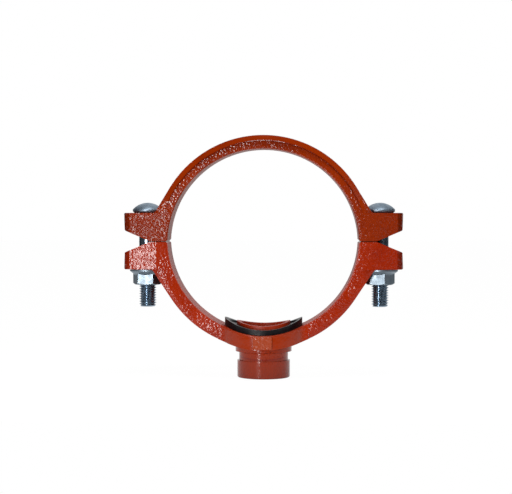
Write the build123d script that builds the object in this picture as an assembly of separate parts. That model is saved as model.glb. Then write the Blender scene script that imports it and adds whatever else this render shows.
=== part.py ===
from build123d import *
import math
import os

os.makedirs("parts", exist_ok=True)

# Mechanical tee: a two-part bolted cast ring that closes on a run pipe and carries a grooved branch
# outlet. Run pipe axis along Y, branch towards -Z, bolts parallel to Z, all sizes in mm.

# Run ring
run_pipe_diameter = 168.3
arc_relief = 2.65                 # each half's arc centre lies this far past the joint plane
strap_width = 42.0
upper_wall = 12.2
lower_wall = 12.8
bevel_share = 0.42                # outer part of the wall that is drafted back on the side faces
bevel_drop = 1.9
relief_depth = 2.3                # side relief of the upper strap at its crown
relief_share = 0.58
land_chamfer = 1.1
bore_chamfer = 0.8

# Bolt pads, placed from the bolts
bolt_beyond_bore = 19.7           # from the bore's side to the bolt's axis
pad_beyond_bolt = 20.5
land_inside_bolt = 4.5
taper_inside_bolt = 9.5
upper_foot_inside_bolt = 8.0
lower_foot_inside_bolt = 5.5
land_slope = 22.5
pad_end_draft = 0.8
upper_pad_height = 25.9
lower_pad_height = 25.4
pad_taper = 10.0
pad_corner = 6.5
foot_fillet = 4.0
edge_round = 1.4

# Bolts, 5/8 inch, and flange nuts
bolt_diameter = 15.875
bolt_length = 85.8
bolt_tip_chamfer = 1.3
head_diameter = 27.4
head_height = 9.3
head_dome = 6.2
head_under_chamfer = 1.5
neck_length = 20.6
neck_height = 9.5
neck_clearance = 0.5
hole_clearance = 0.8
seat_clearance = 1.4
nut_flats = 23.8
nut_height = 14.4
nut_flange_diameter = 32.8
nut_flange_rim = 2.0
nut_flange_cone = 3.4
nut_bore_clearance = 0.05
nut_chamfer = 1.5
left_nut_turn = 25.0
right_nut_turn = 15.0

# Branch outlet and saddle
outlet_diameter = 48.3
outlet_bore = 40.8
outlet_reach = 124.7
outlet_lip = 15.9
groove_width = 7.2
groove_diameter = 44.9
shoulder_diameter = 51.5
shoulder_cone = 1.0
lip_round = 1.3
saddle_radius = 41.5
saddle_blend = 9.0
plate_width = 16.5
plate_proud = 1.2
plate_height_share = 0.9

# Locating collar and gasket
collar_diameter = 49.3
collar_rim_radius = 76.6
gasket_diameter = 71.0
gasket_top_arc = 68.0             # the gasket's top is bent tighter than the pipe
gasket_top_height = 79.5          # and lies this far under the run axis at its lowest
gasket_lip_width = 4.0
gasket_lip_drop = 1.6
gasket_floor_radius = 91.0
gasket_side_clearance = 0.25
gasket_inner_clearance = 0.35
gasket_floor_clearance = 0.05

run_radius = run_pipe_diameter / 2
bore_radius = run_radius + arc_relief
bolt_reach = bore_radius + bolt_beyond_bore
pad_reach = bolt_reach + pad_beyond_bolt
land_reach = bolt_reach - land_inside_bolt
pad_taper_start = bolt_reach - taper_inside_bolt
upper_flank_foot = bolt_reach - upper_foot_inside_bolt
lower_flank_foot = bolt_reach - lower_foot_inside_bolt
half_width = strap_width / 2
bolt_radius = bolt_diameter / 2
head_radius = head_diameter / 2
branch_bore_radius = outlet_bore / 2
shoulder_radius = shoulder_diameter / 2
lip_start = outlet_reach - outlet_lip
groove_start = lip_start - groove_width


def across(radius, length, height=0.0):
    """A cylinder along the run pipe's axis, its centre at the given height."""
    return Pos(0, 0, height) * Rot(90, 0, 0) * Cylinder(radius, length)


def near(vertices, x, y):
    """The vertices that lie at x or -x and y."""
    return vertices.filter_by(lambda v: abs(abs(v.X) - x) < 0.01 and abs(v.Y - y) < 0.01)


def half_outline(outer_radius, pad_height, foot):
    """Front outline of one half, filled in, standing on the joint plane: crown, flanks and pads."""
    drop = pad_height + arc_relief
    swing = math.atan2(drop, foot) + math.acos(min(1.0, outer_radius / math.hypot(foot, drop)))
    touch_x = outer_radius * math.cos(swing)
    touch_z = outer_radius * math.sin(swing) - arc_relief
    end = pad_reach - pad_end_draft
    lip = (end - land_reach) * math.tan(math.radians(land_slope))
    crown = ThreePointArc((touch_x, touch_z), (0, outer_radius - arc_relief), (-touch_x, touch_z))
    left = [(-touch_x, touch_z), (-foot, pad_height), (-pad_reach, pad_height), (-end, lip)]
    right = [(end, lip), (pad_reach, pad_height), (foot, pad_height), (touch_x, touch_z)]
    rest = Polyline(*left, (-land_reach, 0), (land_reach, 0), *right)
    face = make_face(crown + rest)
    face = fillet(near(face.vertices(), foot, pad_height), foot_fillet)
    face = fillet(near(face.vertices(), pad_reach, pad_height), edge_round)
    face = fillet(near(face.vertices(), end, lip), edge_round)
    return Plane.XZ * face


def strap_plan():
    """Outline of strap and pads seen along the branch axis: pads narrow towards their ends."""
    end_half = half_width - (pad_reach - pad_taper_start) * math.tan(math.radians(pad_taper))
    side = [(pad_taper_start, half_width), (pad_reach, end_half)]
    points = side + [(x, -y) for x, y in reversed(side)]
    points += [(-x, -y) for x, y in side] + [(-x, y) for x, y in reversed(side)]
    face = make_face(Polyline(*points, close=True))
    return fillet(near(face.vertices(), pad_reach, end_half) + near(face.vertices(), pad_reach, -end_half), pad_corner)


def side_bevels(outer_radius, pad_height):
    """Rings cut away beyond the ridge on both side faces of the strap, clear of the pads."""
    ridge = outer_radius - (outer_radius - bore_radius) * bevel_share
    slope = bevel_drop / (outer_radius - ridge)
    far = outer_radius + 6.0
    wedge = Polyline(
        (ridge, half_width), (far, half_width - (far - ridge) * slope), (far, half_width + 5), (ridge, half_width + 5), close=True
    )
    ring = Pos(0, 0, -arc_relief) * revolve(make_face(wedge), Axis.Y)
    both = ring + mirror(ring, about=Plane.XZ)
    above = Pos(0, 0, pad_height) * Box(400, 400, 400, align=(Align.CENTER, Align.CENTER, Align.MIN))
    return both & above


def half_strap(outer_radius, pad_height, foot):
    """One half of the ring standing on the joint plane, before its bore and holes are cut."""
    blank = extrude(half_outline(outer_radius, pad_height, foot), half_width, both=True)
    blank = blank & extrude(strap_plan(), 300)
    return blank - side_bevels(outer_radius, pad_height)


def bore_tool(length):
    """What the run bore removes from a half standing on the joint plane, edges eased."""
    tool = across(bore_radius, length, -arc_relief)
    notch = Rot(0, 45, 0) * Box(2 * land_chamfer, length, 2 * land_chamfer)
    joint_half = math.sqrt(bore_radius**2 - arc_relief**2)
    return tool + Pos(joint_half, 0, 0) * notch + Pos(-joint_half, 0, 0) * notch


def bore_easing(half_length):
    """Chamfers of the bore's two rims, at the given distance either side of the centre."""
    depth = bore_chamfer
    corner = Polyline(
        (bore_radius - 2, half_length - depth - 2), (bore_radius + depth + 2, half_length + 2),
        (bore_radius - 2, half_length + 2), close=True
    )
    ring = Pos(0, 0, -arc_relief) * revolve(make_face(corner), Axis.Y)
    return ring + mirror(ring, about=Plane.XZ)


def side_relief(step_radius, start):
    """Shallow relief of both side faces inside the step, deepest at the crown, run out at the pads."""
    lean = math.degrees(math.atan2(relief_depth, step_radius - start))
    slab = Box(400, 20, 400, align=(Align.CENTER, Align.MAX, Align.MIN))
    front = Pos(0, -half_width, start) * Rot(-lean, 0, 0) * slab
    disc = across(step_radius, 200, -arc_relief)
    tool = front & disc
    return tool + mirror(tool, about=Plane.XZ)


def bolt_slot(length, width, height):
    """An oval bar along Z with its long way along X."""
    return extrude(SlotOverall(length, width), height)


def at_bolts(shape):
    """The shape at both bolt axes."""
    return Pos(bolt_reach, 0, 0) * shape + Pos(-bolt_reach, 0, 0) * shape


def upper_housing():
    """The plain upper half: strap, pads with oval bolt holes, and seats for the bolt heads."""
    outer_radius = bore_radius + upper_wall
    part = half_strap(outer_radius, upper_pad_height, upper_flank_foot)
    step_radius = outer_radius - upper_wall * bevel_share
    part -= side_relief(step_radius, upper_pad_height + 8)
    part -= bore_tool(200)
    part -= bore_easing(half_width)
    seat = Cylinder(head_radius + seat_clearance, 60, align=(Align.CENTER, Align.CENTER, Align.MIN))
    part -= at_bolts(Pos(0, 0, upper_pad_height) * seat)
    gap = 2 * neck_clearance
    part -= at_bolts(bolt_slot(neck_length + gap, bolt_diameter + gap, 60))
    return part


def saddle_plan():
    """The round saddle seen along the branch axis, blended into the strap's sides."""
    tangent = math.sqrt((saddle_radius + saddle_blend)**2 - (half_width + saddle_blend)**2)
    strip = Rectangle(2 * tangent + 1, strap_width)
    shape = Circle(saddle_radius) + strip
    meet = math.sqrt(saddle_radius**2 - half_width**2)
    corners = near(shape.vertices(), meet, half_width) + near(shape.vertices(), meet, -half_width)
    return fillet(corners, saddle_blend)


def outlet_stub():
    """Solid outlet with shoulder, groove and rounded lip, hanging from inside the saddle wall."""
    pipe_radius = outlet_diameter / 2
    groove_radius = groove_diameter / 2
    base = run_radius + lower_wall / 2
    taper_top = groove_start - shoulder_cone
    outline = Polyline(
        (0, -base), (shoulder_radius, -base), (shoulder_radius, -taper_top), (groove_radius, -groove_start),
        (groove_radius, -lip_start), (pipe_radius, -lip_start), (pipe_radius, -outlet_reach), (0, -outlet_reach), close=True
    )
    face = make_face(outline)
    end = face.vertices().filter_by(lambda v: abs(v.X - pipe_radius) < 0.01 and abs(v.Y + outlet_reach) < 0.01)
    return revolve(Plane.XZ * fillet(end, lip_round), Axis.Z)


def blank_plate():
    """Plain raised plate on the front of the saddle, left bare."""
    wall_top = run_radius
    height = lower_wall * plate_height_share
    depth = 12.0
    box = Box(plate_width, depth, height, align=(Align.CENTER, Align.MIN, Align.MAX))
    box = fillet(box.edges().filter_by(Axis.Y), 1.0)
    return Pos(0, -saddle_radius - plate_proud, -wall_top - 0.4) * box


def locating_collar():
    """Collar that enters the hole cut in the run pipe, its rim curved like the pipe."""
    top = math.sqrt(collar_rim_radius**2 - (collar_diameter / 2)**2) - 6
    tube = Pos(0, 0, -top) * Cylinder(collar_diameter / 2, 60, align=(Align.CENTER, Align.CENTER, Align.MAX))
    tube = tube & across(gasket_floor_radius + 1.5, 200)
    return tube - across(collar_rim_radius, 200)


def gasket_pocket():
    """Ring-shaped pocket round the collar, its floor curved like the pipe."""
    radius = gasket_diameter / 2 + gasket_side_clearance
    ring = Cylinder(radius, 120, align=(Align.CENTER, Align.CENTER, Align.MAX))
    return ring & across(gasket_floor_radius, 200)


def outlet_housing():
    """The half with the branch: strap, saddle, gasket pocket, collar and grooved outlet."""
    outer_radius = bore_radius + lower_wall
    part = mirror(half_strap(outer_radius, lower_pad_height, lower_flank_foot), about=Plane.XY)
    saddle = extrude(saddle_plan(), -200) & across(outer_radius, 200, arc_relief)
    below = Pos(0, 0, -run_radius / 2) * Box(400, 400, 400, align=(Align.CENTER, Align.CENTER, Align.MAX))
    part += saddle & below
    part += blank_plate()
    part += outlet_stub()
    part -= mirror(bore_tool(200), about=Plane.XY)
    part -= gasket_pocket()
    part += locating_collar()
    part -= Pos(0, 0, -run_radius / 2) * Cylinder(
        branch_bore_radius, outlet_reach, align=(Align.CENTER, Align.CENTER, Align.MAX)
    )
    flange_room = nut_flange_diameter / 2 + 1.0
    seat = Cylinder(flange_room, 60, align=(Align.CENTER, Align.CENTER, Align.MAX))
    part -= at_bolts(Pos(0, 0, -lower_pad_height) * seat)
    part -= at_bolts(Cylinder(bolt_radius + hole_clearance, 200))
    return part


def branch_gasket():
    """Saddle-shaped rubber ring between the housing and the pipe, with a raised outer lip."""
    outer = gasket_diameter / 2
    inner = collar_diameter / 2 + gasket_inner_clearance
    ring = Cylinder(outer, 120, align=(Align.CENTER, Align.CENTER, Align.MAX))
    ring -= Cylinder(inner, 300)
    ring = ring & across(gasket_floor_radius - gasket_floor_clearance, 200)
    bend = gasket_top_arc - gasket_top_height
    ring -= across(gasket_top_arc, 200, bend)
    ring = ring & (Pos(0, 0, -gasket_top_height / 2) * Cylinder(300, 300, align=(Align.CENTER, Align.CENTER, Align.MAX)))
    step = Cylinder(outer - gasket_lip_width, 300) & across(gasket_top_arc + gasket_lip_drop, 200, bend)
    return ring - step


def bolt():
    """Domed-head bolt with an oval neck, hung from its seat at the origin's height."""
    seat = upper_pad_height
    rim_top = seat + head_height - head_dome
    crown = seat + head_height
    tip = seat - bolt_length
    dome_radius = (head_radius**2 + head_dome**2) / (2 * head_dome)
    centre = crown - dome_radius
    half_angle = math.asin(head_radius / dome_radius) / 2
    middle = (dome_radius * math.sin(half_angle), centre + dome_radius * math.cos(half_angle))
    dome = ThreePointArc((0, crown), middle, (head_radius, rim_top))
    under = head_radius - head_under_chamfer
    rest = Polyline(
        (head_radius, rim_top), (head_radius, seat + head_under_chamfer), (under, seat), (bolt_radius, seat),
        (bolt_radius, tip + bolt_tip_chamfer), (bolt_radius - bolt_tip_chamfer, tip), (0, tip), (0, crown)
    )
    body = revolve(Plane.XZ * make_face(dome + rest), Axis.Z)
    neck = Pos(0, 0, seat - neck_height) * bolt_slot(neck_length, bolt_diameter, neck_height)
    return body + neck


def flange_nut(turn):
    """Hexagon nut with a built-in flange, seated under the lower pad and turned by an angle."""
    top = -lower_pad_height
    flange_radius = nut_flange_diameter / 2
    flange = Polyline(
        (0, top), (flange_radius - 0.4, top), (flange_radius, top - 0.4), (flange_radius, top - nut_flange_rim),
        (nut_flats / 2, top - nut_flange_rim - nut_flange_cone), (0, top - nut_flange_rim - nut_flange_cone), close=True
    )
    disc = revolve(Plane.XZ * make_face(flange), Axis.Z)
    prism = Pos(0, 0, top) * extrude(RegularPolygon(nut_flats / 2, 6, major_radius=False), -nut_height)
    corner = nut_flats / math.sqrt(3)
    drop = (corner - nut_flats / 2 + 0.4) * math.tan(math.radians(30)) + 0.5
    round_bar = Polyline(
        (0, top), (corner + 1, top), (corner + 1, top - nut_height + drop + 0.4),
        (nut_flats / 2 - 0.4, top - nut_height), (0, top - nut_height), close=True
    )
    prism = prism & revolve(Plane.XZ * make_face(round_bar), Axis.Z)
    nut = disc + prism
    hole = bolt_radius + nut_bore_clearance
    nut -= Cylinder(hole, 200)
    mouth = Cone(hole + nut_chamfer, hole, nut_chamfer, align=(Align.CENTER, Align.CENTER, Align.MIN))
    nut -= Pos(0, 0, top - nut_height) * mouth
    return Rot(0, 0, turn) * nut


def write(shape, name):
    """One STEP file for one piece."""
    export_step(shape, "parts/" + name + ".step")


write(upper_housing(), "upper_housing")
write(outlet_housing(), "outlet_housing")
write(branch_gasket(), "branch_gasket")
write(Pos(-bolt_reach, 0, 0) * bolt(), "bolt_left")
write(Pos(bolt_reach, 0, 0) * bolt(), "bolt_right")
write(Pos(-bolt_reach, 0, 0) * flange_nut(left_nut_turn), "nut_left")
write(Pos(bolt_reach, 0, 0) * flange_nut(right_nut_turn), "nut_right")
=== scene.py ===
"""Bolted mechanical tee: rough-cast painted ring halves, rubber saddle gasket, zinc bolts and nuts."""

from __future__ import annotations

import logging
import math
from dataclasses import dataclass
from enum import Enum

import bmesh
import bpy
from mathutils import Matrix, Vector


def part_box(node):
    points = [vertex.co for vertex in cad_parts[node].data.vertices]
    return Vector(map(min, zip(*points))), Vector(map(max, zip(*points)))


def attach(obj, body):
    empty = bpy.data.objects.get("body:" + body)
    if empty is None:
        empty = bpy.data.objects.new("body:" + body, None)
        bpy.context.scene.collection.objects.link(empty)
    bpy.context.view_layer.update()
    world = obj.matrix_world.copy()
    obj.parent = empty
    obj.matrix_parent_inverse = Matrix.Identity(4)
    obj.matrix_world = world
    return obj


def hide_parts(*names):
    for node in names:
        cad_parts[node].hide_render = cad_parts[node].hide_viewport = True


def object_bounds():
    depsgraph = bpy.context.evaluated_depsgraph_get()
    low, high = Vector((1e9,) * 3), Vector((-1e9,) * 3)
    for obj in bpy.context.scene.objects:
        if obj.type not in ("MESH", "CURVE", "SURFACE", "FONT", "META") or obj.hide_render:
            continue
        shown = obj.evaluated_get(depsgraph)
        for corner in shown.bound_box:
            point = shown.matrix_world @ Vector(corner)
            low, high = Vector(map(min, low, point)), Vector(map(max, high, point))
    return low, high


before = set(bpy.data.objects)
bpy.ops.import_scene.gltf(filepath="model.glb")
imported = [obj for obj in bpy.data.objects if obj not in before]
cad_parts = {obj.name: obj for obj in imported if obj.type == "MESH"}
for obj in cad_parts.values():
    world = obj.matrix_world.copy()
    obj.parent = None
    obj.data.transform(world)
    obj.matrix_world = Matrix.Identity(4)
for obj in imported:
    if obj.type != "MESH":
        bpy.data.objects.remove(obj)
CAD_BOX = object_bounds()
LOG = logging.getLogger("mechanical_tee")
MM = 0.001
SMOOTH_ANGLE = 32.0  # degrees; sharper edges than this stay edges
Colour = tuple[float, float, float]
Place = tuple[float, float, float]


class Body(Enum):
    """The rigid bodies that pieces ride on."""

    OUTLET_HALF = "outlet_half"
    UPPER_HALF = "upper_half"
    LEFT_NUT = "left_nut"
    RIGHT_NUT = "right_nut"


class Side(Enum):
    """The two bolt positions, as signs along X."""

    LEFT = -1
    RIGHT = 1

    @property
    def word(self) -> str:
        """The side's name as node names spell it."""
        return self.name.lower()


class Value:
    """A number inside a node tree that takes part in Python arithmetic."""

    def __init__(self, graph: Nodes, socket: bpy.types.NodeSocket) -> None:
        """Wraps one output socket of a tree."""
        self.graph = graph
        self.socket = socket

    def __add__(self, other: Value | float) -> Value:
        """Sum."""
        return self.graph.math("ADD", self, other)

    __radd__ = __add__

    def __sub__(self, other: Value | float) -> Value:
        """Difference."""
        return self.graph.math("SUBTRACT", self, other)

    def __rsub__(self, other: float) -> Value:
        """Difference from a plain number."""
        return self.graph.math("SUBTRACT", other, self)

    def __mul__(self, other: Value | float) -> Value:
        """Product."""
        return self.graph.math("MULTIPLY", self, other)

    def __truediv__(self, other: Value | float) -> Value:
        """Quotient."""
        return self.graph.math("DIVIDE", self, other)

    def clamp(self) -> Value:
        """The value kept between 0 and 1."""
        return self.graph.math("MAXIMUM", self.graph.math("MINIMUM", self, 1.0), 0.0)

    def step(self, start: float, end: float) -> Value:
        """A straight ramp, 0 at start and 1 at end, clamped.

        Args:
            start: value at which the ramp gives 0.
            end: value at which the ramp gives 1.

        Returns:
            The clamped ramp.
        """
        return ((self - start) * (1.0 / (end - start))).clamp()


class Nodes:
    """Adds nodes to one node tree and joins them up."""

    tree: bpy.types.NodeTree

    def node(self, kind: str, settings: dict | None = None, values: dict | None = None) -> bpy.types.Node:
        """Adds a node.

        Args:
            kind: the node's type.
            settings: its properties, set before its sockets.
            values: numbers, colours, links or Values for its input sockets, by name or number.

        Returns:
            The new node.
        """
        made = self.tree.nodes.new(kind)
        for key, setting in (settings or {}).items():
            setattr(made, key, setting)
        for key, value in (values or {}).items():
            self.feed(made.inputs[key], value)
        return made

    def feed(self, socket: bpy.types.NodeSocket, value: object) -> None:
        """Links or sets one input socket.

        Args:
            socket: the input.
            value: a Value or an output socket to link, or the constant to set.
        """
        if isinstance(value, Value):
            self.tree.links.new(value.socket, socket)
        elif isinstance(value, bpy.types.NodeSocket):
            self.tree.links.new(value, socket)
        elif isinstance(value, tuple) and len(value) == 3 and socket.type == "RGBA":
            socket.default_value = (*value, 1.0)
        else:
            socket.default_value = value

    def math(self, operation: str, *values: Value | float) -> Value:
        """One Math node on values and numbers."""
        made = self.node("ShaderNodeMath", {"operation": operation}, dict(enumerate(values)))
        return Value(self, made.outputs[0])


class Graph(Nodes):
    """Node tree of one material."""

    def __init__(self, name: str) -> None:
        """Starts an empty node material.

        Args:
            name: the material's name.
        """
        self.material = bpy.data.materials.new(name)
        self.material.use_nodes = True
        self.tree = self.material.node_tree
        self.tree.nodes.clear()

    def mix(self, share: Value | float, first: object, second: object) -> bpy.types.NodeSocket:
        """A blend of two colours.

        Args:
            share: how much of the second colour is taken.
            first: colour or colour socket at share 0.
            second: colour or colour socket at share 1.

        Returns:
            The blended colour's socket.
        """
        made = self.node("ShaderNodeMix", {"data_type": "RGBA"})
        self.feed(made.inputs[0], share)
        self.feed(made.inputs[6], first)
        self.feed(made.inputs[7], second)
        return made.outputs[2]

    def noise(
        self, place: bpy.types.NodeSocket, grain: float, detail: float = 2.0, rough: float = 0.5
    ) -> Value:
        """Fractal noise whose lumps are about the given size.

        Args:
            place: coordinates in metres.
            grain: lump size in metres.
            detail: octaves.
            rough: weight of the fine octaves.

        Returns:
            The noise, around 0.5.
        """
        values = {"Vector": place, "Scale": 1.0 / grain, "Detail": detail, "Roughness": rough}
        return Value(self, self.node("ShaderNodeTexNoise", None, values).outputs[0])

    def grains(self, place: bpy.types.NodeSocket, grain: float) -> Value:
        """Rounded grains beside each other.

        Args:
            place: coordinates in metres.
            grain: grain size in metres.

        Returns:
            1 at each grain's middle, falling to 0 at its rim.
        """
        values = {"Vector": place, "Scale": 1.0 / grain, "Smoothness": 0.35, "Randomness": 1.0}
        made = self.node("ShaderNodeTexVoronoi", {"feature": "SMOOTH_F1"}, values)
        to_rim = 0.8  # share of a grain's size from its middle to its rim
        return (1.0 - Value(self, made.outputs["Distance"]) * (1.0 / to_rim)).clamp()

    def place(self) -> bpy.types.NodeSocket:
        """Object coordinates, in metres."""
        return self.node("ShaderNodeTexCoord").outputs["Object"]

    def axes(self, place: bpy.types.NodeSocket) -> tuple[Value, Value, Value]:
        """The coordinates' three parts."""
        made = self.node("ShaderNodeSeparateXYZ", None, {"Vector": place})
        return Value(self, made.outputs[0]), Value(self, made.outputs[1]), Value(self, made.outputs[2])

    def finish(self, values: dict, height: Value | None = None, depth: float = 0.0) -> bpy.types.Material:
        """Closes the graph with one principled shader.

        Args:
            values: its inputs by name.
            height: relief from 0 to 1, if the surface has any.
            depth: how deep the relief is, in metres.

        Returns:
            The finished material.
        """
        shader = self.node("ShaderNodeBsdfPrincipled", None, values)
        if height is not None:
            bump = self.node("ShaderNodeBump", None, {"Height": height, "Distance": depth, "Strength": 1.0})
            self.feed(shader.inputs["Normal"], bump.outputs[0])
        out = self.node("ShaderNodeOutputMaterial")
        self.tree.links.new(shader.outputs[0], out.inputs[0])
        return self.material


@dataclass(frozen=True)
class CastPaint:
    """Gloss paint over a sand casting: coarse on the ring, calm on the branch, the band and in the bore.

    Lengths are measured in the shared frame. A radius is taken about the ring's own arc, whose centre lies
    arc_relief beyond the joint plane. A share says how strongly one layer shows over the one below it.

    Attributes:
        name: the material's name.
        light, deep, smooth, joint_dirt_and_shade, painted_plate_highlight: the paint's main tone; its darker
        tone, which the clouds take and which is also painted shade in the grains' hollows and under the step;
        the paint on the turned branch; dirt and painted shade along the joint; and the painted highlight
        that makes the raised plate paler.
        grain, relief, lump, cloud, drift: size of a sand grain, the grains' height, and the sizes of the
            slow lumps, of the clouds in the colour and of the drifts of coarse sand.
        grain_weight, lump_weight: shares of the relief that grains and lumps take.
        shine, gloss: specular level of the paint, and its roughness where it is smoothest.
        bore, bore_edge, bore_coarse: radius of the bore, the width its edge takes, the grains left in it.
        branch_half, branch_rim, branch_top, branch_fade: half width of the turned branch and the rim in
            which it ends, its top below the joint and the length in which it begins.
        branch_calm, band_calm, plate_coarse: share of the grains that turning and the band take off, and
            the grains that the raised plate has.
        step, skin: radii of the step in the ring's face and of the skin outside; the band lies between.
        arc_from, arc_to: height off the joint at which the band begins to show and shows fully.
        painted_step_shade, painted_step_shade_edge, line, line_edge: half widths of the painted shade under
        the step and of the dark line of dirt and painted shade along the joint, where each is full and where
        each has gone.
        pad_start, pad_slope, pad_coarse: how far left the pad begins, how far its face leans, its grains.
        calm, calm_from, calm_to: share of the drifts lost next to the left pad, and where.
        ring_start, ring_slope: how far left the ring's face begins to lean, and how far it leans.
        right_start, right_fade, right_coarse: where the right pad begins, and its grains.
        plate_half, plate_low, plate_high, plate_front, plate_edge: the raised plate's half width, its ends
            below the joint, how far forward its face starts and the width of its edges.
        pad_end, end_slope: how far out the pads' faces begin to turn away, and how steeply they do.
    """

    name: str
    light: Colour
    deep: Colour
    smooth: Colour
    # dirt and painted shade in the groove along the joint
    joint_dirt_and_shade: Colour = (0.012, 0.003, 0.002)
    # painted highlight: a paler tone on the raised plate
    painted_plate_highlight: Colour = (0.55, 0.2, 0.1)
    grain: float = 2.3 * MM
    relief: float = 0.75 * MM
    lump: float = 9 * MM
    cloud: float = 26 * MM
    drift: float = 24 * MM
    grain_weight: float = 0.6
    lump_weight: float = 0.25
    shine: float = 0.3
    gloss: float = 0.12
    bore: float = 87.2 * MM
    bore_edge: float = 0.8 * MM
    bore_coarse: float = 0.2
    arc_relief: float = 2.65 * MM
    branch_half: float = 40 * MM
    branch_rim: float = 7 * MM
    branch_top: float = 76 * MM
    branch_fade: float = 5 * MM
    branch_calm: float = 0.86
    band_calm: float = 0.75
    plate_coarse: float = 0.4
    step: float = 93.9 * MM
    skin: float = 98.9 * MM
    arc_from: float = 22 * MM
    arc_to: float = 34 * MM
    # half widths of the painted shade under the step in the ring's face
    painted_step_shade: float = 0.3 * MM
    painted_step_shade_edge: float = 1.0 * MM
    # half widths of the joint's dirt and painted shade
    line: float = 0.25 * MM
    line_edge: float = 0.75 * MM
    pad_start: float = 86 * MM
    pad_slope: float = 0.03
    pad_coarse: float = 1.0
    calm: float = 0.0
    calm_from: float = 62 * MM
    calm_to: float = 84 * MM
    ring_start: float = 60 * MM
    ring_slope: float = 0.0
    right_start: float = 70 * MM
    right_fade: float = 10 * MM
    right_coarse: float = 0.8
    plate_half: float = 8.3 * MM
    plate_low: float = 96 * MM
    plate_high: float = 84.3 * MM
    plate_front: float = 20 * MM
    plate_edge: float = 0.3 * MM
    pad_end: float = 121.5 * MM
    end_slope: float = 0.8

    def material(self) -> bpy.types.Material:
        """Builds the paint.

        Returns:
            The material.
        """
        graph = Graph(self.name)
        place = graph.place()
        x, y, z = graph.axes(place)
        sideways = graph.math("ABSOLUTE", x)
        off_joint = graph.math("ABSOLUTE", z)
        raised = off_joint + self.arc_relief
        radius = graph.math("SQRT", x * x + raised * raised)

        outside = radius.step(self.bore, self.bore + self.bore_edge)
        branch = (0.0 - z).step(self.branch_top, self.branch_top + self.branch_fade)
        turned = branch * sideways.step(self.branch_half, self.branch_half - self.branch_rim)
        on_arc = off_joint.step(self.arc_from, self.arc_to)
        band = self.band(radius) * on_arc
        plate = self.plate(x=sideways, y=y, z=z)
        from_step = graph.math("ABSOLUTE", radius - self.step)
        # painted shade: a dark line under the step in the ring's face
        painted_step_shade = (1.0 - from_step.step(self.painted_step_shade, self.painted_step_shade_edge)) * on_arc
        # dirt and painted shade: a dark line along the joint between the halves
        joint_dirt_and_shade = 1.0 - off_joint.step(self.line, self.line_edge)

        sand = self.coarseness(graph, place, x) * (1.0 - turned * self.branch_calm)
        sand = sand * (self.bore_coarse + outside * (1.0 - self.bore_coarse)) * (1.0 - band * self.band_calm)
        coarse = graph.math("MAXIMUM", sand, plate * self.plate_coarse)
        grains = graph.grains(place, self.grain)
        pits = graph.noise(place, self.grain * 1.1, detail=1.5, rough=0.45)
        lumps = graph.noise(place, self.lump)
        rough_skin = (grains + pits) * self.grain_weight * coarse
        height = rough_skin + lumps * self.lump_weight + self.lean(x, sideways)

        clouds = graph.noise(place, self.cloud, detail=3.0).step(0.3, 0.7)
        # painted shade: the grains' hollows are darkened toward the deep tone
        painted_hollow_shade = (1.0 - grains) * coarse
        colour = graph.mix(clouds * 0.45, self.light, self.deep)
        # Each layer goes over those before it: where it lies, how strongly it shows there, and its tone.
        layers = (
            # painted shade in the grains' hollows
            (painted_hollow_shade, 0.5, self.deep),
            (turned, 0.7, self.smooth),
            # painted shade under the step
            (painted_step_shade, 0.75, self.deep),
            # painted highlight on the raised plate
            (plate, 0.15, self.painted_plate_highlight),
            # dirt and painted shade along the joint
            (joint_dirt_and_shade, 0.8, self.joint_dirt_and_shade),
        )
        for where, share, tone in layers:
            colour = graph.mix(where * share, colour, tone)
        roughness = self.gloss + pits * 0.08 + coarse * 0.1 + (1.0 - outside) * 0.3
        values = {"Base Color": colour, "Roughness": roughness, "IOR": 1.5, "Specular IOR Level": self.shine}
        return graph.finish(values, height, self.relief)

    def band(self, radius: Value) -> Value:
        """1 on the calm band between the step in the ring's face and its skin."""
        inner = radius.step(self.step - 0.2 * MM, self.step + 0.5 * MM)
        return inner * radius.step(self.skin, self.skin - 0.4 * MM)

    def plate(self, x: Value, y: Value, z: Value) -> Value:
        """The small raised plate on the front.

        Args:
            x: distance to either side of the middle.
            y: the coordinates' Y part.
            z: their Z part.

        Returns:
            1 on the plate and 0 around it.
        """
        down = 0.0 - z
        across = x.step(self.plate_half + self.plate_edge, self.plate_half)
        above_foot = down.step(self.plate_low, self.plate_low - self.plate_edge)
        below_top = down.step(self.plate_high - self.plate_edge, self.plate_high)
        forward = (0.0 - y).step(self.plate_front, self.plate_front + 1 * MM)
        return across * above_foot * below_top * forward

    def lean(self, x: Value, sideways: Value) -> Value:
        """Height that grows evenly along X, so that a flat face catches light as if it leaned.

        Args:
            x: the coordinates' X part.
            sideways: distance to either side of the middle.

        Returns:
            The height, in reliefs.
        """
        past_pad = (0.0 - x - self.pad_start).step(0.0, 1.0)
        past_ring = (0.0 - x - self.ring_start).step(0.0, 1.0)
        past_end = (sideways - self.pad_end).step(0.0, 1.0)
        pads = past_pad * ((self.pad_slope + self.ring_slope) / self.relief)
        return pads - past_ring * (self.ring_slope / self.relief) - past_end * (self.end_slope / self.relief)

    def coarseness(self, graph: Graph, place: bpy.types.NodeSocket, x: Value) -> Value:
        """How strongly the sand's grains show: all over the pads, in drifts along the ring.

        Args:
            graph: the paint's graph.
            place: coordinates in metres.
            x: their X part.

        Returns:
            The strength, from 0 to 1.
        """
        calm = (0.0 - x).step(self.calm_from, self.calm_to) * self.calm
        drifts = (graph.noise(place, self.drift).step(0.42, 0.65) * 0.6 + 0.35) * (1.0 - calm)
        left = (0.0 - x).step(self.pad_start - 1.5 * MM, self.pad_start + 0.5 * MM) * self.pad_coarse
        right = x.step(self.right_start, self.right_start + self.right_fade) * self.right_coarse
        return graph.math("MAXIMUM", graph.math("MAXIMUM", drifts, left), right)


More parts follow.
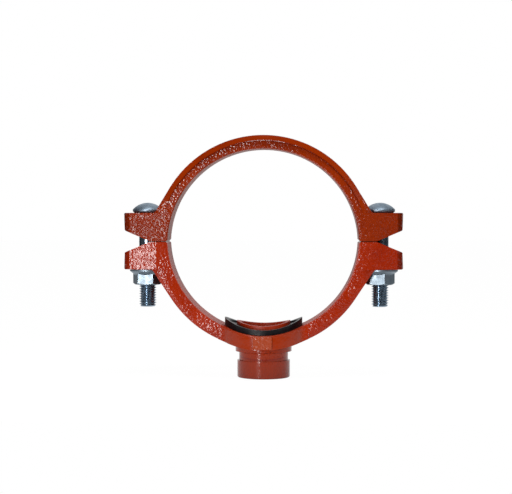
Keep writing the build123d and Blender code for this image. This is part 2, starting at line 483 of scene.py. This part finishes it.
@dataclass(frozen=True)
class ZincPlate:
    """Bright zinc plate with faint clouds and fine drawing marks along Z.

    Attributes:
        name: the material's name.
        light: the plate where it is bright.
        shade: the plate in its clouds.
        roughness: how matt it is at its brightest.
        head_from, head_fade, head_rough: height at which a bolt's head begins, the length in which it
            does, and how much more matt it is than the rest.
        cloud, mark, speck: sizes of the clouds, of the drawing marks and of the specks.
        relief: depth of marks and specks.
    """

    name: str
    light: Colour
    shade: Colour
    roughness: float
    head_from: float = 15 * MM
    head_fade: float = 1 * MM
    head_rough: float = 0.28
    cloud: float = 5 * MM
    mark: float = 0.5 * MM
    speck: float = 0.9 * MM
    relief: float = 0.012 * MM

    def material(self) -> bpy.types.Material:
        """Builds the plating.

        Returns:
            The material.
        """
        graph = Graph(self.name)
        place = graph.place()
        clouds = graph.noise(place, self.cloud, detail=3.0).step(0.3, 0.7)
        drawn_out = {"Vector": place, "Scale": (1.0, 1.0, 0.12)}
        marks = graph.noise(graph.node("ShaderNodeMapping", None, drawn_out).outputs[0], self.mark)
        specks = graph.noise(place, self.speck)
        colour = graph.mix(clouds * 0.8, self.light, self.shade)
        _, _, z = graph.axes(place)
        head = z.step(self.head_from, self.head_from + self.head_fade)
        roughness = self.roughness + clouds * 0.1 + marks * 0.08 + head * self.head_rough
        values = {"Base Color": colour, "Metallic": 1.0, "Roughness": roughness}
        return graph.finish(values, marks * 0.5 + specks * 0.5, self.relief)


@dataclass(frozen=True)
class MouldedRubber:
    """Black moulded rubber with a satin skin and a trace of talc."""

    name: str
    black: Colour = (0.004, 0.004, 0.005)
    talc: Colour = (0.012, 0.012, 0.014)
    cloud: float = 6 * MM
    pore: float = 0.7 * MM
    relief: float = 0.05 * MM

    def material(self) -> bpy.types.Material:
        """Builds the rubber.

        Returns:
            The material.
        """
        graph = Graph(self.name)
        place = graph.place()
        clouds = graph.noise(place, self.cloud, detail=4.0, rough=0.6).step(0.42, 0.75)
        skin = graph.noise(place, self.pore, detail=3.0)
        colour = graph.mix(clouds * 0.6, self.black, self.talc)
        values = {"Base Color": colour, "Roughness": 0.36 + clouds * 0.2, "Specular IOR Level": 0.2}
        return graph.finish(values, skin, self.relief)


def link(name: str, data: bpy.types.ID) -> bpy.types.Object:
    """Puts a mesh, a lamp or a camera into the scene as an object at the origin.

    Args:
        name: the object's name.
        data: what the object shows; a mesh is in the shared frame.

    Returns:
        The object.
    """
    made = bpy.data.objects.new(name, data)
    bpy.context.scene.collection.objects.link(made)
    return made


def settle(source: bpy.types.Object, name: str) -> bpy.types.Object:
    """Turns an object and its modifiers into one plain mesh object.

    Args:
        source: the object, which is removed.
        name: name of the plain object.

    Returns:
        The plain object.
    """
    bpy.context.view_layer.update()
    graph = bpy.context.evaluated_depsgraph_get()
    mesh = bpy.data.meshes.new_from_object(source.evaluated_get(graph), depsgraph=graph)
    bpy.data.objects.remove(source, do_unlink=True)
    mesh.name = name
    return link(name, mesh)


def shade(mesh: bpy.types.Mesh) -> None:
    """Smooth shading, with edges above SMOOTH_ANGLE left sharp."""
    mesh.shade_smooth()
    mesh.set_sharp_from_angle(angle=math.radians(SMOOTH_ANGLE))


def axis_of(node: str) -> Vector:
    """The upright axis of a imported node: the middle of its box, at height zero."""
    low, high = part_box(node)
    return Vector(((low[0] + high[0]) / 2, (low[1] + high[1]) / 2, 0.0))


@dataclass(frozen=True)
class EasedCopy:
    """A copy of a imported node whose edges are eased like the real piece's.

    Attributes:
        node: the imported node.
        ease: width of the easing, in metres.
        segments: steps across an eased edge.
        edge_angle: edges above this angle in degrees are eased.
        flat_angle: facets within this angle in degrees are first merged.
        crisp: whether large flats keep one even shade, so that only the eased edges round off.
    """

    node: str
    ease: float
    segments: int = 3
    edge_angle: float = 28.0
    flat_angle: float = 0.6
    crisp: bool = True

    def build(self, name: str) -> bpy.types.Object:
        """Copies, merges and eases the node.

        Args:
            name: name of the finished object.

        Returns:
            The eased object.
        """
        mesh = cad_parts[self.node].data.copy()
        mesh.materials.clear()
        work = bmesh.new()
        work.from_mesh(mesh)
        bmesh.ops.remove_doubles(work, verts=work.verts, dist=0.002 * MM)
        flat = math.radians(self.flat_angle)
        bmesh.ops.dissolve_limit(work, angle_limit=flat, verts=work.verts, edges=work.edges)
        work.to_mesh(mesh)
        work.free()
        copy = link(name + "_work", mesh)
        bevel = copy.modifiers.new("ease", "BEVEL")
        bevel.limit_method = "ANGLE"
        bevel.angle_limit = math.radians(self.edge_angle)
        bevel.width = self.ease
        bevel.segments = self.segments
        bevel.use_clamp_overlap = True
        if self.crisp:
            mesh.shade_smooth()
            weigh = copy.modifiers.new("crisp_flats", "WEIGHTED_NORMAL")
            weigh.mode = "FACE_AREA"
            weigh.weight = 50
            return settle(copy, name)
        done = settle(copy, name)
        shade(done.data)
        return done


@dataclass
class Casting:
    """One painted ring half."""

    node: str
    body: Body
    finish: CastPaint
    slot: str
    ease: float = 0.7 * MM

    def build(self) -> bpy.types.Object:
        """Builds and dresses the half.

        Returns:
            The finished object.
        """
        piece = EasedCopy(self.node, self.ease).build(self.node + "_cast")
        piece.data.materials.append(self.finish.material())
        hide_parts(self.node)
        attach(piece, self.body.value)
        return piece


@dataclass
class Gasket:
    """The rubber saddle ring in the outlet half's pocket."""

    finish: MouldedRubber
    ease: float = 0.5 * MM

    def build(self) -> bpy.types.Object:
        """Builds and dresses the gasket.

        Returns:
            The finished object.
        """
        piece = EasedCopy("branch_gasket", self.ease).build("gasket_rubber_ring")
        piece.data.materials.append(self.finish.material())
        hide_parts("branch_gasket")
        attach(piece, Body.OUTLET_HALF.value)
        return piece


class GeometryTree(Nodes):
    """Geometry Nodes tree with named inputs and the arithmetic of its fields."""

    def __init__(self, name: str) -> None:
        """Starts a tree with a geometry output.

        Args:
            name: the tree's name.
        """
        self.tree = bpy.data.node_groups.new(name, "GeometryNodeTree")
        self.tree.interface.new_socket("Geometry", in_out="OUTPUT", socket_type="NodeSocketGeometry")
        self.source = self.tree.nodes.new("NodeGroupInput")
        self.sink = self.tree.nodes.new("NodeGroupOutput")
        self.names: dict[str, str] = {}

    def size(self, name: str, kind: str = "NodeSocketFloat") -> Value:
        """Adds a named input to the tree.

        Args:
            name: the input's name.
            kind: its socket's type.

        Returns:
            The input's value.
        """
        made = self.tree.interface.new_socket(name, in_out="INPUT", socket_type=kind)
        self.names[name] = made.identifier
        return Value(self, self.source.outputs[name])

    def run(self, name: str, sizes: dict[str, object]) -> bpy.types.Object:
        """Evaluates the tree once into a plain mesh object.

        Args:
            name: the object's name.
            sizes: value of each named input.

        Returns:
            The plain object.
        """
        host = link(name + "_tree", bpy.data.meshes.new(name + "_tree"))
        modifier = host.modifiers.new("tree", "NODES")
        modifier.node_group = self.tree
        for key, value in sizes.items():
            modifier[self.names[key]] = value
        return settle(host, name)


@dataclass(frozen=True)
class ThreadedShank:
    """Round bar with a right-hand helical thread cut from its tip, standing on Z.

    Attributes:
        radius, root: the bar's radius over the crests and in the roots.
        pitch: height of one turn.
        tip, top, thread_top: heights of the tip, of the bar's top and of the thread's end.
        runout: height in which the thread fades out.
        tip_taper, tip_drop: height and depth of the pointed tip.
        groove_from, groove_to: where a flank leaves the crest and where it reaches the root, as shares
            of half a pitch.
        cap_share: share of the rows that close each end.
        points_round, rows_per_pitch: how finely the bar is drawn.
    """

    radius: float
    root: float
    pitch: float
    tip: float
    top: float
    thread_top: float
    runout: float = 3.0 * MM
    tip_taper: float = 1.9 * MM
    tip_drop: float = 1.3 * MM
    groove_from: float = 0.08
    groove_to: float = 0.82
    cap_share: float = 0.004
    points_round: int = 48
    rows_per_pitch: int = 14

    def tree(self) -> GeometryTree:
        """Geometry Nodes tree of the bar.

        Returns:
            The tree, with its sizes as named inputs.
        """
        tree = GeometryTree("threaded_shank")
        radius, root = tree.size("Radius"), tree.size("Root")
        pitch, tip = tree.size("Pitch"), tree.size("Tip")
        top, thread_top = tree.size("Top"), tree.size("Thread Top")
        runout, taper, drop = tree.size("Runout"), tree.size("Tip Taper"), tree.size("Tip Drop")
        across = tree.size("Points Round", "NodeSocketInt")
        rows = tree.size("Rows", "NodeSocketInt")
        plate = tree.size("Plating", "NodeSocketMaterial")
        grid = tree.node("GeometryNodeMeshGrid", None, {"Size X": 1.0, "Size Y": 1.0})
        tree.feed(grid.inputs["Vertices X"], across)
        tree.feed(grid.inputs["Vertices Y"], rows)
        where = tree.node("GeometryNodeInputPosition").outputs[0]
        split = tree.node("ShaderNodeSeparateXYZ", None, {"Vector": where})
        share_round = Value(tree, split.outputs[0]) + 0.5
        share_up = Value(tree, split.outputs[1]) + 0.5
        cap = self.cap_share
        height = tip + (share_up - cap).step(0.0, 1.0 - 2 * cap) * (top - tip)
        spare_turns = 8.0  # keep the count of turns above zero all the way down
        wave = tree.math("FRACT", (height - tip) / pitch - share_round + spare_turns)
        flank = tree.math("ABSOLUTE", wave - 0.5) * 2.0
        groove = flank.step(self.groove_from, self.groove_to)
        fade = ((thread_top - height) / runout).clamp()
        plain = radius - (radius - root) * groove * fade
        point = radius - drop + (height - tip) * (drop / taper)
        bar = tree.math("MINIMUM", plain, point)
        inside = share_up.step(0.0, cap * 0.5) * (1.0 - share_up).step(0.0, cap * 0.5)
        reach = bar * inside
        angle = share_round * (2 * math.pi)
        x = tree.math("COSINE", angle) * reach
        y = tree.math("SINE", angle) * reach
        spot = tree.node("ShaderNodeCombineXYZ")
        for number, part in enumerate((x, y, height)):
            tree.feed(spot.inputs[number], part)
        placing = {"Geometry": grid.outputs[0], "Position": spot.outputs[0]}
        moved = tree.node("GeometryNodeSetPosition", None, placing)
        closing = {"Geometry": moved.outputs[0], "Distance": 0.001 * MM}
        closed = tree.node("GeometryNodeMergeByDistance", None, closing)
        real = tree.node("GeometryNodeRealizeInstances", None, {"Geometry": closed.outputs[0]})
        dressed = tree.node("GeometryNodeSetMaterial", None, {"Geometry": real.outputs[0]})
        tree.feed(dressed.inputs["Material"], plate)
        tree.feed(tree.sink.inputs[0], dressed.outputs[0])
        return tree

    def build(self, name: str, plating: bpy.types.Material) -> bpy.types.Object:
        """Evaluates the tree.

        Args:
            name: the object's name.
            plating: the bar's material.

        Returns:
            The bar, on the Z axis.
        """
        rows = int((self.top - self.tip) / self.pitch * self.rows_per_pitch)
        sizes = {
            "Radius": self.radius,
            "Root": self.root,
            "Pitch": self.pitch,
            "Tip": self.tip,
            "Top": self.top,
            "Thread Top": self.thread_top,
            "Runout": self.runout,
            "Tip Taper": self.tip_taper,
            "Tip Drop": self.tip_drop,
            "Points Round": self.points_round + 1,
            "Rows": rows,
            "Plating": plating,
        }
        return self.tree().run(name, sizes)


@dataclass
class CarriageBolt:
    """Domed-head bolt with an oval neck and a rolled thread.

    Attributes:
        side: which of the two bolts.
        finish: its plating.
        radius, thread_depth, pitch, thread_length: sizes of the threaded shank.
        under_head, neck: height of the head, and length of the neck below it that stays with it.
        ease: width of the eased edges.
    """

    side: Side
    finish: ZincPlate
    radius: float = 7.9 * MM
    thread_depth: float = 1.6 * MM
    pitch: float = 25.4 / 11 * MM
    thread_length: float = 40 * MM
    under_head: float = 9.3 * MM
    neck: float = 9.2 * MM
    ease: float = 0.45 * MM

    def head(self, name: str) -> bpy.types.Object:
        """Head and oval neck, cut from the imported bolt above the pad.

        Args:
            name: the object's name.

        Returns:
            The closed head.
        """
        node = "bolt_" + self.side.word
        _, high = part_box(node)
        cut = high[2] - self.under_head - self.neck
        eased = EasedCopy(node, self.ease, segments=2, edge_angle=30.0, flat_angle=0.3, crisp=False)
        piece = eased.build(name)
        work = bmesh.new()
        work.from_mesh(piece.data)
        parts = work.verts[:] + work.edges[:] + work.faces[:]
        bmesh.ops.bisect_plane(
            work, geom=parts, plane_co=(0, 0, cut), plane_no=(0, 0, 1), clear_inner=True, dist=1e-7
        )
        rim = [edge for edge in work.edges if edge.is_boundary]
        bmesh.ops.holes_fill(work, edges=rim, sides=0)
        bmesh.ops.recalc_face_normals(work, faces=work.faces)
        work.to_mesh(piece.data)
        work.free()
        shade(piece.data)
        return piece

    def build(self) -> bpy.types.Object:
        """Builds and dresses the bolt.

        Returns:
            The finished object.
        """
        name = "bolt_" + self.side.word + "_threaded"
        low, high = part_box("bolt_" + self.side.word)
        plating = self.finish.material()
        tip = low[2]
        bar = ThreadedShank(
            radius=self.radius,
            root=self.radius - self.thread_depth,
            pitch=self.pitch,
            tip=tip,
            top=high[2] - self.under_head,
            thread_top=tip + self.thread_length,
        )
        shank = bar.build(name + "_shank", plating)
        head = self.head(name + "_head")
        head.data.materials.append(plating)
        whole = bmesh.new()
        whole.from_mesh(shank.data)
        bmesh.ops.recalc_face_normals(whole, faces=whole.faces)
        bmesh.ops.translate(whole, verts=whole.verts, vec=axis_of("bolt_" + self.side.word))
        whole.from_mesh(head.data)
        mesh = bpy.data.meshes.new(name)
        whole.to_mesh(mesh)
        whole.free()
        mesh.materials.append(plating)
        for spare in (shank, head):
            bpy.data.objects.remove(spare, do_unlink=True)
        piece = link(name, mesh)
        shade(mesh)
        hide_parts("bolt_" + self.side.word)
        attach(piece, Body.UPPER_HALF.value)
        return piece


@dataclass
class FlangeNut:
    """Hexagon nut with its own flange.

    Attributes:
        side: which of the two nuts.
        finish: its plating.
        ease: width of the eased edges.
        tightened: degrees that the nut is turned about its own axis from how it was packed.
    """

    side: Side
    finish: ZincPlate
    ease: float = 0.4 * MM
    tightened: float = 30.0

    def build(self) -> bpy.types.Object:
        """Builds and dresses the nut.

        Returns:
            The finished object.
        """
        node = "nut_" + self.side.word
        eased = EasedCopy(node, self.ease, segments=2, edge_angle=16.0, flat_angle=0.3)
        piece = eased.build(node + "_flanged")
        axis = axis_of(node)
        turn = Matrix.Rotation(math.radians(self.tightened), 4, "Z")
        piece.data.transform(Matrix.Translation(axis) @ turn @ Matrix.Translation(-axis))
        piece.data.materials.append(self.finish.material())
        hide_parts(node)
        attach(piece, Body[self.side.name + "_NUT"].value)
        return piece


class StageGraph(Nodes):
    """Node tree of the surroundings or the floor."""

    def __init__(self, tree: bpy.types.NodeTree) -> None:
        """Takes over and empties a tree."""
        self.tree = tree
        self.tree.nodes.clear()


@dataclass(frozen=True)
class Card:
    """A black card that the metal mirrors: its name, its middle, and its width and height in metres."""

    name: str
    place: Place
    size: tuple[float, float]


@dataclass(frozen=True)
class Lamp:
    """A soft rectangular lamp: its name, where it hangs, its two sides in metres and its power."""

    name: str
    place: Place
    size: tuple[float, float]
    watts: float


@dataclass
class Studio:
    """White surroundings, soft lamps and the camera.

    Attributes:
        floor_half, floor_front: the floor's half size, and how far it comes out in front of the run.
        floor_gap: how far it lies below the object.
        floor_show: share of its look that is plain glow, so that it shows white.
        floor_glow, floor_tone: strength of that glow, and the grey of the floor that takes the shadow.
        card_tone, card_roughness: the near-black of the cards, and how matt they are.
        world_light: strength of the surroundings as a light.
        lamp_aim: the point that every lamp faces.
        lens, camera_place, camera_aim: focal length in millimetres for a 36 mm wide sensor, the
            camera's place and the point it looks at.
        cards, lamps: the black cards and the lamps.
    """

    floor_half: float = 6.0
    floor_front: float = 0.3
    floor_gap: float = 0.2 * MM
    floor_show: float = 0.97
    floor_glow: float = 1.02
    floor_tone: float = 0.9
    card_tone: Colour = (0.004, 0.006, 0.012)
    card_roughness: float = 0.9
    world_light: float = 0.1
    lamp_aim: Place = (0.0, 0.0, -0.02)
    lens: float = 107.4
    camera_place: Place = (0.035, -1.400, 0.030)
    camera_aim: Place = (-0.007, 0.0, -0.0054)
    cards: tuple[Card, ...] = (
        Card("dark_room", (0.0, -2.9, 0.4), (6.4, 4.4)),
        Card("dark_table", (0.0, -2.0, -1.2), (4.6, 2.2)),
        Card("dark_card_left", (-0.95, 0.05, 0.15), (2.6, 1.6)),
        Card("dark_card_right", (0.95, -0.1, 0.15), (2.6, 1.6)),
        Card("dark_ceiling", (0.0, -0.7, 2.2), (4.4, 3.8)),
    )
    lamps: tuple[Lamp, ...] = (
        Lamp("soft_box", (-0.51, -1.36, -0.05), (0.2, 0.5), 12.0),
        Lamp("top_lamp", (0.1, -0.5, 1.25), (0.7, 0.3), 11.0),
        Lamp("fill_lamp", (1.05, -1.15, 0.35), (0.5, 0.5), 4.0),
    )

    def seen_directly(self, graph: StageGraph) -> Value:
        """Tells what is looked at from what only lights the object.

        Args:
            graph: the tree that asks.

        Returns:
            1 for rays from the camera and for those that metal or glass sends on, 0 for the others.
        """
        path = graph.node("ShaderNodeLightPath")
        words = ("Is Camera Ray", "Is Glossy Ray", "Is Transmission Ray")
        camera, glossy, through = (Value(graph, path.outputs[word]) for word in words)
        return (camera + glossy + through).clamp()

    def world(self) -> None:
        """Surroundings that show white and light the object gently."""
        world = bpy.data.worlds.new("white_surroundings")
        world.use_nodes = True
        bpy.context.scene.world = world
        graph = StageGraph(world.node_tree)
        seen = self.seen_directly(graph)
        strength = seen * (1.0 - self.world_light) + self.world_light
        back = graph.node("ShaderNodeBackground", None, {"Color": (1.0, 1.0, 1.0, 1.0)})
        graph.feed(back.inputs["Strength"], strength)
        out = graph.node("ShaderNodeOutputWorld")
        graph.tree.links.new(back.outputs[0], out.inputs[0])

    def floor(self) -> bpy.types.Object:
        """Pale floor under the object, which keeps its shadow.

        Returns:
            The floor.
        """
        height = CAD_BOX[0][2] - self.floor_gap
        mesh = bpy.data.meshes.new("pale_floor")
        half, front = self.floor_half, -self.floor_front
        corners = [(-half, front, height), (half, front, height), (half, half, height), (-half, half, height)]
        mesh.from_pydata(corners, [], [(0, 1, 2, 3)])
        material = bpy.data.materials.new("pale_floor")
        material.use_nodes = True
        graph = StageGraph(material.node_tree)
        grey = {"Color": (self.floor_tone, self.floor_tone, self.floor_tone, 1.0)}
        matt = graph.node("ShaderNodeBsdfDiffuse", None, grey)
        white = {"Color": (1.0, 1.0, 1.0, 1.0), "Strength": self.floor_glow}
        glow = graph.node("ShaderNodeEmission", None, white)
        share = self.seen_directly(graph) * self.floor_show
        mixed = graph.node("ShaderNodeMixShader")
        graph.feed(mixed.inputs[0], share)
        graph.feed(mixed.inputs[1], matt.outputs[0])
        graph.feed(mixed.inputs[2], glow.outputs[0])
        out = graph.node("ShaderNodeOutputMaterial")
        graph.tree.links.new(mixed.outputs[0], out.inputs[0])
        mesh.materials.append(material)
        return link("pale_floor", mesh)

    def dark_card(self, card: Card) -> bpy.types.Object:
        """Puts up a black card out of the camera's sight.

        Args:
            card: the card, which faces the origin.

        Returns:
            Its object.
        """
        place = Vector(card.place)
        facing = (-place).to_track_quat("Z", "Y")
        wide, high = card.size[0] / 2, card.size[1] / 2
        corners = [Vector((x, y, 0)) for x, y in ((-wide, -high), (wide, -high), (wide, high), (-wide, high))]
        mesh = bpy.data.meshes.new(card.name)
        mesh.from_pydata([facing @ corner + place for corner in corners], [], [(0, 1, 2, 3)])
        material = bpy.data.materials.new(card.name)
        material.use_nodes = True
        shader = material.node_tree.nodes["Principled BSDF"]
        shader.inputs["Base Color"].default_value = (*self.card_tone, 1.0)
        shader.inputs["Roughness"].default_value = self.card_roughness
        mesh.materials.append(material)
        made = link(card.name, mesh)
        made.visible_camera = False
        made.visible_diffuse = False
        made.visible_shadow = False
        return made

    def lamp(self, lamp: Lamp) -> bpy.types.Object:
        """Hangs a lamp.

        Args:
            lamp: the lamp, which faces lamp_aim.

        Returns:
            Its object.
        """
        light = bpy.data.lights.new(lamp.name, "AREA")
        light.shape = "RECTANGLE"
        light.size, light.size_y = lamp.size
        light.energy = lamp.watts
        made = link(lamp.name, light)
        made.location = lamp.place
        line = Vector(lamp.place) - Vector(self.lamp_aim)
        made.rotation_euler = line.to_track_quat("Z", "Y").to_euler()
        return made

    def camera(self) -> None:
        """Camera at the viewing angle."""
        data = bpy.data.cameras.new("camera")
        data.lens = self.lens
        data.sensor_width = 36.0
        data.clip_end = 50.0
        eye = link("camera", data)
        eye.location = self.camera_place
        line = Vector(self.camera_place) - Vector(self.camera_aim)
        eye.rotation_euler = line.to_track_quat("Z", "Y").to_euler()
        bpy.context.scene.camera = eye

    def build(self) -> None:
        """Sets up surroundings, lamps and camera."""
        self.world()
        stage = [self.floor()]
        stage.extend(self.dark_card(card) for card in self.cards)
        stage.extend(self.lamp(lamp) for lamp in self.lamps)
        self.camera()
        bpy.context.scene.view_settings.view_transform = "Standard"


UPPER_PAINT = CastPaint(
    name="upper_cast_paint",
    light=(0.30, 0.026, 0.0),
    deep=(0.15, 0.008, 0.0),
    smooth=(0.30, 0.028, 0.001),
)
OUTLET_PAINT = CastPaint(
    name="outlet_cast_paint",
    light=(0.38, 0.023, 0.0),
    deep=(0.22, 0.008, 0.0),
    smooth=(0.30, 0.026, 0.0),
    step=110 * MM,  # this half's face has no step: its painted shade under the step falls in the branch's groove
    pad_start=96.5 * MM,
    pad_slope=0.06,
    pad_coarse=0.45,
    calm=0.25,
    ring_slope=-0.1,
)
BOLT_ZINC = ZincPlate(
    name="bolt_zinc_plate", light=(0.29, 0.36, 0.43), shade=(0.20, 0.26, 0.32), roughness=0.14
)
NUT_ZINC = ZincPlate(
    name="nut_zinc_plate", light=(0.24, 0.29, 0.33), shade=(0.17, 0.21, 0.25), roughness=0.36
)


def main() -> None:
    """Builds the pieces in order and reports each one."""
    makers: list[Casting | Gasket | CarriageBolt | FlangeNut] = [
        Casting("upper_housing", Body.UPPER_HALF, UPPER_PAINT, "upper_paint"),
        Casting("outlet_housing", Body.OUTLET_HALF, OUTLET_PAINT, "outlet_paint"),
        Gasket(MouldedRubber("gasket_rubber")),
    ]
    for side in Side:
        makers.append(CarriageBolt(side, BOLT_ZINC))
        makers.append(FlangeNut(side, NUT_ZINC))
    for maker in makers:
        piece = maker.build()
        LOG.info("%s: %d faces", piece.name, len(piece.data.polygons))
    Studio().build()


if __name__ == "__main__":
    logging.basicConfig(level=logging.INFO, format="%(message)s")
    main()
